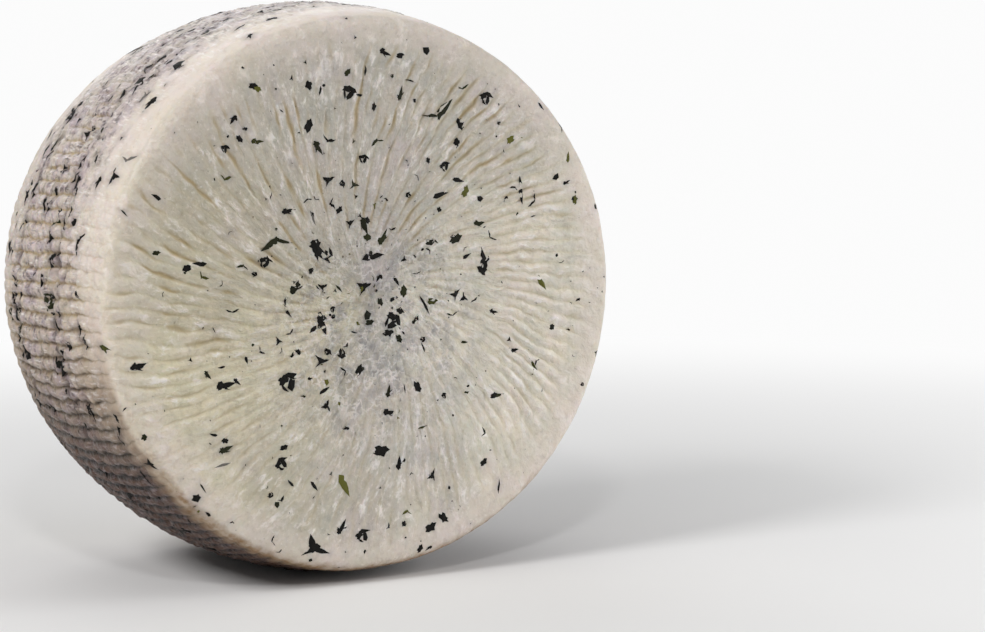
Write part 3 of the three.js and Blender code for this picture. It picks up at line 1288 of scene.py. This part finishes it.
LEAF_BITS = {
    LeafForm.CHIP: (LeafBit(Outline.CHIP),),
    LeafForm.SHARD: (LeafBit(Outline.SHARD),),
    LeafForm.STAR: (
        LeafBit(Outline.SHARD, 0.20, 0.02, 0.62, 8),
        LeafBit(Outline.SHARD, -0.16, 0.18, 0.58, 124),
        LeafBit(Outline.SLIVER, -0.14, -0.20, 0.56, 228),
        LeafBit(Outline.CHIP, -0.02, 0.02, 0.52, 40),
    ),
    LeafForm.CLUSTER: (
        LeafBit(Outline.CHIP, -0.16, 0.12, 0.56, 20),
        LeafBit(Outline.SHARD, 0.18, 0.14, 0.68, -40),
        LeafBit(Outline.SHARD, 0.08, -0.14, 0.72, 70),
        LeafBit(Outline.SLIVER, -0.24, -0.20, 0.56, 110),
    ),
    LeafForm.SPLINTER: (LeafBit(Outline.SLIVER),),
    LeafForm.BENT: (
        LeafBit(Outline.SHARD, 0.24, 0.14, 0.66, 30),
        LeafBit(Outline.SLIVER, -0.24, 0.14, 0.66, 148),
        LeafBit(Outline.CHIP, 0.0, -0.02, 0.26, 60),
    ),
    LeafForm.CURL: (
        LeafBit(Outline.SLIVER, 0.22, 0.06, 0.60, 28),
        LeafBit(Outline.SLIVER, -0.20, 0.06, 0.62, 150),
    ),
    LeafForm.RAGGED: (
        LeafBit(Outline.SHARD, 0.10, 0.0, 0.86, 6),
        LeafBit(Outline.CHIP, -0.18, 0.05, 0.54, 60),
        LeafBit(Outline.SLIVER, 0.06, -0.16, 0.46, -34),
    ),
    LeafForm.CRUMB: (LeafBit(Outline.CRUMB),),
}


@dataclass(frozen=True)
class LeafTemplates:
    """The leaf forms as thin closed slabs. Heights are in millimetres.

    Attributes:
        top: How far the middle of a bit stands above the skin.
        edge: How far its edge does.
        root: How far its underside does, which is less than 0 because it lies in the paste.
        step: How much higher each further bit of a leaf lies.
    """

    top: float = 0.16
    edge: float = 0.06
    root: float = -0.35
    step: float = 0.02

    def build(self) -> bpy.types.Collection:
        """Makes a mesh for each form, in a collection that isn't in the scene.

        Returns:
            The collection, in the order of the forms.
        """
        collection = bpy.data.collections.new("leaf_forms")
        for form in LeafForm:
            name = f"leaf_form_{form.value}"
            collection.objects.link(bpy.data.objects.new(name, self.mesh(name, LEAF_BITS[form])))
        return collection

    def mesh(self, name: str, bits: tuple[LeafBit, ...]) -> bpy.types.Mesh:
        """Makes one leaf: each bit has a middle point and its outline, above and below.

        Args:
            name: The mesh's name.
            bits: The leaf's bits.

        Returns:
            The mesh, flat, with its height above the skin stored as an attribute in millimetres.
        """
        points: list[tuple[float, float, float]] = []
        lifts: list[float] = []
        faces: list[tuple[int, ...]] = []
        for index, bit in enumerate(bits):
            ring = []
            for degrees, share in bit.outline.value:
                turn, reach = math.radians(degrees + bit.spin), share * bit.size
                ring.append((bit.along + reach * math.cos(turn), bit.aside + reach * math.sin(turn)))
            count = len(ring)
            upper = len(points)
            lower = upper + count + 1
            for middle, edge in ((self.top, self.edge), (self.root, self.root)):
                points.append((bit.along, bit.aside, 0.0))
                points += [(x, y, 0.0) for x, y in ring]
                lifts += [height + self.step * index for height in [middle] + [edge] * count]
            for corner in range(count):
                near, far = 1 + corner, 1 + (corner + 1) % count
                faces.append((upper, upper + near, upper + far))
                faces.append((lower, lower + far, lower + near))
                faces.append((upper + far, upper + near, lower + near, lower + far))
        mesh = bpy.data.meshes.new(name)
        mesh.from_pydata(points, [], faces)
        mesh.attributes.new(LIFT, "FLOAT", "POINT").data.foreach_set("value", lifts)
        return mesh


@dataclass(frozen=True)
class Scatter:
    """How one zone's leaves are strewn. Lengths are in millimetres.

    Attributes:
        zone: The part of the skin.
        seed: The number that the strewing starts from.
        density: The most leaves in a square centimetre.
        smallest: The smallest leaf's length.
        largest: The largest strewn leaf's length.
        rarity: How rare large leaves are: 1 for all lengths alike, more for fewer large ones.
        greenest: The tone of the greenest strewn leaf.
        freedom: How far a leaf may turn from the direction round the rim, in degrees.
        placed: The leaves that have places of their own.
    """

    zone: Zone
    seed: int
    density: float
    smallest: float
    largest: float
    rarity: float
    greenest: float = 0.95
    freedom: float = 180.0
    placed: tuple[PlacedLeaf, ...] = ()

    def inputs(self) -> dict[str, float]:
        """The numbers under their inputs' names."""
        names = ("density", "smallest", "largest", "rarity", "greenest", "freedom")
        return {name.title(): getattr(self, name) for name in names}


SCATTERS = (
    Scatter(Zone.FRONT, 11, 4.4, 0.5, 3.6, 2.4, placed=FRONT_LEAVES),
    Scatter(Zone.RIM, 23, 8.0, 1.0, 7.5, 1.8, greenest=0.74, freedom=35.0, placed=RIM_LEAVES),
    Scatter(Zone.BACK, 37, 3.0, 0.7, 9.0, 2.4),
)


class HerbLeaves:
    """The torn leaves in one zone of the skin.

    Each leaf is stretched a little and gets a width of its own. Its points are pulled aside at random, and a
    ray from above the skin then finds the height of each.
    """

    STRETCH = 1.1
    NARROWEST = 0.75
    WIDEST = 1.2
    TEAR_SHARE = 0.26
    LEAST_TEAR = 0.4 * MM
    LEAST_GAP = 1.2 * MM
    RAY_START = 6 * MM
    RAY_LENGTH = 16 * MM

    def __init__(self, scatter: Scatter, shape: WheelShape) -> None:
        """Keeps how the leaves are strewn and the wheel's plain shape.

        Args:
            scatter: How the leaves are strewn.
            shape: The plain shape of the wheel.
        """
        self.scatter = scatter
        self.shape = shape

    def place_of(self, leaf: PlacedLeaf) -> tuple[float, float, float]:
        """Where a placed leaf lies on the plain wheel, in metres."""
        centre = self.shape.centre
        if self.scatter.zone is Zone.RIM:
            turn = math.radians(leaf.across)
            reach = self.shape.reach_behind(leaf.along * MM)
            depth = leaf.along * MM - self.shape.half_thickness
            return (reach * math.cos(turn), depth, centre.z + reach * math.sin(turn))
        return (leaf.across * MM, -self.shape.half_thickness, centre.z + leaf.along * MM)

    def marks(self) -> bpy.types.Object:
        """Makes a point for each placed leaf, with its form, length, spin and tone as attributes.

        Returns:
            The points as an object.
        """
        placed = self.scatter.placed
        mesh = bpy.data.meshes.new("leaf_marks")
        mesh.from_pydata([self.place_of(leaf) for leaf in placed], [], [])
        form = mesh.attributes.new("form", "INT", "POINT")
        form.data.foreach_set("value", [leaf.form.value for leaf in placed])
        for name in ("length", "spin", TONE):
            layer = mesh.attributes.new(name, "FLOAT", "POINT")
            key = "tone" if name == TONE else name
            layer.data.foreach_set("value", [float(getattr(leaf, key)) for leaf in placed])
        marks = bpy.data.objects.new("leaf_marks", mesh)
        bpy.context.scene.collection.objects.link(marks)
        return marks

    def share(self, n: TreeWriter, point: Field) -> Field:
        """How thickly leaves are strewn at a point, from 0 to 1.

        Args:
            n: The writer of the tree.
            point: Millimetres from the wheel's middle.

        Returns:
            The share of the zone's greatest density.
        """
        x, depth, z = n.split(point)
        half = self.shape.half_thickness / MM
        clumps = n.smooth(n.noise(point, 14.0), -0.3, 0.7)
        if self.scatter.zone is Zone.RIM:
            hoops = []
            for place in HOOP_PLACES:
                off = (depth - place) / 5.5
                hoops.append(n.math("EXPONENT", off * off * -1.0))
            band = n.math("MAXIMUM", hoops[0], hoops[1])
            return n.smooth(half - abs(depth), 3.0, 16.0) * (0.12 + 0.88 * band) * (0.25 + 0.75 * clumps)
        side = depth * (1.0 if self.scatter.zone is Zone.BACK else -1.0)
        flat = n.smooth(side, half - 3.0, half - 1.0)
        centre = 1.0 - n.smooth(n.math("SQRT", x * x + z * z), 12.0, 60.0)
        return flat * (0.12 + 0.5 * centre + 0.38 * clumps)

    def tree(self) -> bpy.types.NodeTree:
        """Builds the geometry tree that strews the leaves and lays them on the skin.

        Returns:
            The tree, with named inputs for the densities and lengths.
        """
        tree = bpy.data.node_groups.new(f"Strew the {self.scatter.zone.value}", TreeKind.GEOMETRY.value)
        put = tree.interface.new_socket
        put("Geometry", in_out="INPUT", socket_type="NodeSocketGeometry")
        put("Geometry", in_out="OUTPUT", socket_type="NodeSocketGeometry")
        put("Skin", in_out="INPUT", socket_type="NodeSocketObject")
        put("Plain Wheel", in_out="INPUT", socket_type="NodeSocketObject")
        put("Forms", in_out="INPUT", socket_type="NodeSocketCollection")
        put("Herb", in_out="INPUT", socket_type="NodeSocketMaterial")
        put("Centre", in_out="INPUT", socket_type="NodeSocketVector")
        put("Seed", in_out="INPUT", socket_type="NodeSocketInt")
        for name in self.scatter.inputs():
            put(name, in_out="INPUT", socket_type="NodeSocketFloat")
        n = TreeWriter(tree)
        source = n.add("NodeGroupInput")
        wheel = n.add("GeometryNodeObjectInfo", {"Object": n.field(source, "Plain Wheel")})
        plain = n.field(wheel, "Geometry")
        points = self.strewn(n, source, plain)
        marks = n.field(n.add("GeometryNodeMeshToPoints", {"Mesh": n.field(source, "Geometry")}))
        joined = n.add("GeometryNodeJoinGeometry")
        for part in (points, marks):
            n.put(joined.inputs[0], part)
        laid = self.laid(n, source, plain, n.field(joined))
        n.add("NodeGroupOutput", {"Geometry": laid})
        return tree

    def strewn(self, n: TreeWriter, source: bpy.types.Node, plain: Field) -> Field:
        """Writes the part that strews points over the plain wheel, each with its form, length, spin and tone.

        Args:
            n: The writer of the tree.
            source: The group's input node.
            plain: The plain wheel's geometry.

        Returns:
            The points.
        """
        seed = n.field(source, "Seed")
        place = n.field(n.add("GeometryNodeInputPosition"))
        point = n.vector("SCALE", n.vector("SUBTRACT", place, n.field(source, "Centre")), scale=1 / MM)
        inputs = {
            "Mesh": plain,
            "Distance Min": self.LEAST_GAP,
            "Density Max": n.field(source, "Density") * PER_SQUARE_CENTIMETRE,
            "Density Factor": self.share(n, point),
            "Seed": seed,
        }
        points = n.field(n.add("GeometryNodeDistributePointsOnFaces", inputs, distribute_method="POISSON"))
        smallest, freedom = n.field(source, "Smallest"), n.field(source, "Freedom")
        chance = n.math("POWER", n.random(0.0, 1.0, seed), n.field(source, "Rarity"))
        last = len(LeafForm) - 0.5
        tone = n.math("POWER", n.random(0.0, 1.0, seed + 3.0), 1.6) * n.field(source, "Greenest")
        values = (
            ("form", "INT", n.random(-0.5, last, seed + 1.0)),
            ("length", "FLOAT", smallest + (n.field(source, "Largest") - smallest) * chance),
            ("spin", "FLOAT", n.random(freedom * -1.0, freedom, seed + 2.0)),
            (TONE, "FLOAT", tone),
        )
        for name, kind, value in values:
            points = n.store(points, name, kind, value)
        return points

    def laid(self, n: TreeWriter, source: bpy.types.Node, plain: Field, points: Field) -> Field:
        """Writes the part that sets a leaf on each point and lays it on the skin.

        Args:
            n: The writer of the tree.
            source: The group's input node.
            plain: The plain wheel's geometry.
            points: The points, with their attributes.

        Returns:
            The leaves.
        """
        place = n.field(n.add("GeometryNodeInputPosition"))
        normal = n.field(n.add("GeometryNodeInputNormal"))
        inputs = {"Mesh": plain, "Value": normal, "Sample Position": place}
        outward = n.field(n.add("GeometryNodeSampleNearestSurface", inputs, data_type="FLOAT_VECTOR"))
        points = n.store(points, "outward", "FLOAT_VECTOR", outward)
        x, _, z = n.split(n.vector("SUBTRACT", place, n.field(source, "Centre")))
        around = n.join(z * -1.0, 0.0, x) if self.scatter.zone is Zone.RIM else n.join(1.0, 0.0, 0.0)
        axes = n.field(n.add("FunctionNodeAxesToRotation", {0: outward, 1: around}))
        spin = n.named("spin", "FLOAT") * (math.pi / 180)
        turn = n.field(n.add("FunctionNodeAxisAngleToRotation", {"Axis": (0.0, 0.0, 1.0), "Angle": spin}))
        rotation = n.field(n.add("FunctionNodeRotateRotation", {0: axes, 1: turn}, rotation_space="LOCAL"))
        length = n.named("length", "FLOAT") * self.STRETCH * MM
        seed = n.field(source, "Seed")
        scale = n.join(length, length * n.random(self.NARROWEST, self.WIDEST, seed + 4.0), length)
        forms = {"Collection": n.field(source, "Forms"), "Separate Children": True, "Reset Children": True}
        inputs = {
            "Points": points,
            "Instance": n.field(n.add("GeometryNodeCollectionInfo", forms)),
            "Pick Instance": True,
            "Instance Index": n.named("form", "INT"),
            "Rotation": rotation,
            "Scale": scale,
        }
        instances = n.field(n.add("GeometryNodeInstanceOnPoints", inputs))
        leaves = n.field(n.add("GeometryNodeRealizeInstances", {"Geometry": instances}))
        inputs = {"Geometry": leaves, "Offset": self.tear(n, place, length)}
        leaves = n.field(n.add("GeometryNodeSetPosition", inputs))
        skin = n.field(n.add("GeometryNodeObjectInfo", {"Object": n.field(source, "Skin")}), "Geometry")
        out = n.named("outward", "FLOAT_VECTOR")
        inputs = {
            "Target Geometry": skin,
            "Source Position": n.vector("ADD", place, n.vector("SCALE", out, scale=self.RAY_START)),
            "Ray Direction": n.vector("SCALE", out, scale=-1.0),
            "Ray Length": self.RAY_LENGTH,
        }
        hit = n.add("GeometryNodeRaycast", inputs)
        lift = n.vector("SCALE", out, scale=n.named(LIFT, "FLOAT") * MM)
        inputs = {
            "Geometry": leaves,
            "Selection": n.field(hit, "Is Hit"),
            "Position": n.vector("ADD", n.field(hit, "Hit Position"), lift),
        }
        leaves = n.field(n.add("GeometryNodeSetPosition", inputs))
        inputs = {"Geometry": leaves, "Material": n.field(source, "Herb")}
        return n.field(n.add("GeometryNodeSetMaterial", inputs))

    def tear(self, n: TreeWriter, place: Field, length: Field) -> Field:
        """How far each point of a leaf is pulled aside, so that no two leaves have the same outline.

        Args:
            n: The writer of the tree.
            place: The point's place, in metres.
            length: The leaf's length, in metres.

        Returns:
            The offset, in metres.
        """
        inputs = {
            "Vector": n.vector("SCALE", place, scale=1 / MM),
            "Scale": 0.8,
            "Detail": 3.0,
            "Roughness": 0.75,
        }
        pull = n.field(n.add("ShaderNodeTexNoise", inputs), "Color")
        centred = n.vector("SUBTRACT", pull, (0.5, 0.5, 0.5))
        return n.vector("SCALE", centred, scale=length * self.TEAR_SHARE + self.LEAST_TEAR)

    def build(
        self,
        skin: bpy.types.Object,
        plain: bpy.types.Object,
        forms: bpy.types.Collection,
        herb: bpy.types.Material,
    ) -> bpy.types.Object:
        """Builds the zone's leaves as one plain mesh.

        Args:
            skin: The wheel's finished body.
            plain: The plain wheel that the leaves are strewn over.
            forms: The leaf forms.
            herb: The leaves' material.

        Returns:
            The leaves.
        """
        values = dict(self.scatter.inputs())
        values.update({"Skin": skin, "Plain Wheel": plain, "Forms": forms, "Herb": herb})
        values.update({"Centre": self.shape.centre, "Seed": self.scatter.seed})
        marks = with_nodes(self.marks(), self.tree(), values)
        return made_plain(marks, f"herbs_{self.scatter.zone.value}")


def stain(body: bpy.types.Object, leaves: list[bpy.types.Object], spread: float = 1.4 * MM) -> None:
    """Stores on the body how near each of its points is to a leaf.

    Args:
        body: The wheel's body.
        leaves: The leaf meshes.
        spread: How far the stain spreads, in metres.
    """
    spots = [point.co for piece in leaves for point in piece.data.vertices]
    tree = KDTree(len(spots))
    for index, spot in enumerate(spots):
        tree.insert(spot, index)
    tree.balance()
    near = [math.exp(-((tree.find(point.co)[2] / spread) ** 2)) for point in body.data.vertices]
    body.data.attributes.new(STAIN, "FLOAT", "POINT").data.foreach_set("value", near)


@dataclass(frozen=True)
class Viewpoint:
    """Where the camera stands: to the left of the wheel's axis and a little above it."""

    azimuth: float = -25.51
    elevation: float = 4.91
    distance: float = 0.8342
    turned_right: float = 4.507
    tipped_down: float = 0.783
    sensor: float = 36.0
    lens: float = 85.95

    def build(self, centre: Vector) -> bpy.types.Object:
        """Makes the camera and sets it as the scene's.

        Args:
            centre: The wheel's middle.

        Returns:
            The camera.
        """
        back = direction(self.azimuth, self.elevation)
        ahead = math.atan2(-back.y, -back.x) - math.radians(self.turned_right)
        down = math.radians(self.elevation + self.tipped_down)
        look = Vector((math.cos(ahead) * math.cos(down), math.sin(ahead) * math.cos(down), -math.sin(down)))
        data = bpy.data.cameras.new("camera")
        data.sensor_width = self.sensor
        data.lens = self.lens
        camera = bpy.data.objects.new("camera", data)
        camera.location = centre + back * self.distance
        camera.rotation_mode = "QUATERNION"
        camera.rotation_quaternion = look.to_track_quat("-Z", "Y")
        bpy.context.scene.collection.objects.link(camera)
        bpy.context.scene.camera = camera
        return camera


def direction(azimuth: float, elevation: float) -> Vector:
    """The direction from the wheel towards a place round it. Azimuth 0 is in front and 90 to the right."""
    across, up = math.radians(azimuth), math.radians(elevation)
    return Vector((math.sin(across) * math.cos(up), -math.cos(across) * math.cos(up), math.sin(up)))


@dataclass(frozen=True)
class Lamp:
    """One soft square lamp that points at the wheel."""

    name: str
    azimuth: float
    elevation: float
    distance: float
    size: float
    power: float
    colour: tuple[float, float, float] = (1.0, 1.0, 1.0)

    def build(self, centre: Vector) -> bpy.types.Object:
        """Makes the lamp.

        Args:
            centre: The wheel's middle.

        Returns:
            The lamp.
        """
        data = bpy.data.lights.new(self.name, "AREA")
        data.shape = "SQUARE"
        data.size = self.size
        data.energy = self.power
        data.color = self.colour
        lamp = bpy.data.objects.new(self.name, data)
        back = direction(self.azimuth, self.elevation)
        lamp.location = centre + back * self.distance
        lamp.rotation_mode = "QUATERNION"
        lamp.rotation_quaternion = (-back).to_track_quat("-Z", "Y")
        bpy.context.scene.collection.objects.link(lamp)
        return lamp


@dataclass(frozen=True)
class Studio:
    """A pale floor that runs out into a white room, and soft lamps."""

    lamps: tuple[Lamp, ...] = (
        Lamp("key", -76.0, 38.0, 1.0, 0.32, 5.2, (1.0, 0.985, 0.975)),
        Lamp("fill", 62.0, 14.0, 0.7, 0.4, 2.2),
        Lamp("spark", -26.0, 36.0, 0.9, 0.08, 1.2),
        Lamp("behind", 165.0, 35.0, 1.2, 0.9, 4.0),
    )
    floor_half: float = 30.0
    fade_from: float = 0.12
    fade_to: float = 0.75
    floor_colour: Colour = (0.86, 0.86, 0.86, 1.0)
    room_seen: float = 0.97
    room_light: float = 0.22

    def room(self) -> None:
        """Lights the room evenly, and shows it white to the camera."""
        world = bpy.data.worlds.new("room")
        bpy.context.scene.world = world
        world.use_nodes = True
        world.node_tree.nodes.clear()
        n = TreeWriter(world.node_tree)
        seen = n.field(n.add("ShaderNodeLightPath"), "Is Camera Ray")
        strength = n.blend(seen, self.room_light, self.room_seen)
        back = n.add("ShaderNodeBackground", {"Color": (1.0, 1.0, 1.0, 1.0), "Strength": strength})
        n.add("ShaderNodeOutputWorld", {"Surface": n.field(back)})

    def floor(self) -> bpy.types.Object:
        """Makes the floor, which turns into the room's white away from the wheel.

        Returns:
            The floor.
        """
        half = self.floor_half
        mesh = bpy.data.meshes.new("floor")
        corners = [(-half, -half, 0.0), (half, -half, 0.0), (half, half, 0.0), (-half, half, 0.0)]
        mesh.from_pydata(corners, [], [(0, 1, 2, 3)])
        floor = bpy.data.objects.new("floor", mesh)
        bpy.context.scene.collection.objects.link(floor)
        material = bpy.data.materials.new("pale_floor")
        material.use_nodes = True
        material.node_tree.nodes.clear()
        n = TreeWriter(material.node_tree)
        place = n.field(n.add("ShaderNodeTexCoord"), "Object")
        away = n.smooth(n.vector("LENGTH", place), self.fade_from, self.fade_to)
        seen = n.field(n.add("ShaderNodeLightPath"), "Is Camera Ray")
        matte = n.add("ShaderNodeBsdfDiffuse", {"Color": self.floor_colour})
        glow = n.add("ShaderNodeEmission", {"Strength": n.blend(seen, self.room_light, self.room_seen)})
        mixed = n.add("ShaderNodeMixShader", {0: away, 1: n.field(matte), 2: n.field(glow)})
        n.add("ShaderNodeOutputMaterial", {"Surface": n.field(mixed)})
        mesh.materials.append(material)
        return floor

    def build(self, centre: Vector) -> None:
        """Makes the floor, the room and the lamps.

        Args:
            centre: The wheel's middle.
        """
        self.room()
        self.floor()
        for lamp in self.lamps:
            lamp.build(centre)
        bpy.context.scene.view_settings.view_transform = "Standard"


def main() -> None:
    """Builds the camera, the wheel and the studio in order, and reports each piece."""
    logging.basicConfig(level=logging.INFO, format="%(name)s: %(message)s")
    shape = WheelShape.from_frame()
    Viewpoint().build(shape.centre)
    relief = Relief(ReliefSizes(half_thickness=shape.half_thickness / MM))
    body = PasteBody(shape, relief, PasteFinish()).build()
    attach(body, BODY)
    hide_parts(NODE)
    log.info("%s: %d faces", body.name, len(body.data.polygons))
    plain = bpy.data.objects.new("plain_wheel", shape.mesh("plain_wheel"))
    bpy.context.scene.collection.objects.link(plain)
    forms = LeafTemplates().build()
    herb = HerbFinish().build()
    groups = []
    for scatter in SCATTERS:
        leaves = HerbLeaves(scatter, shape).build(body, plain, forms, herb)
        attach(leaves, BODY)
        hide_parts(NODE)
        log.info("%s: %d faces", leaves.name, len(leaves.data.polygons))
        groups.append(leaves)
    stain(body, groups)
    bpy.data.objects.remove(plain)
    Studio().build(shape.centre)


if __name__ == "__main__":
    main()
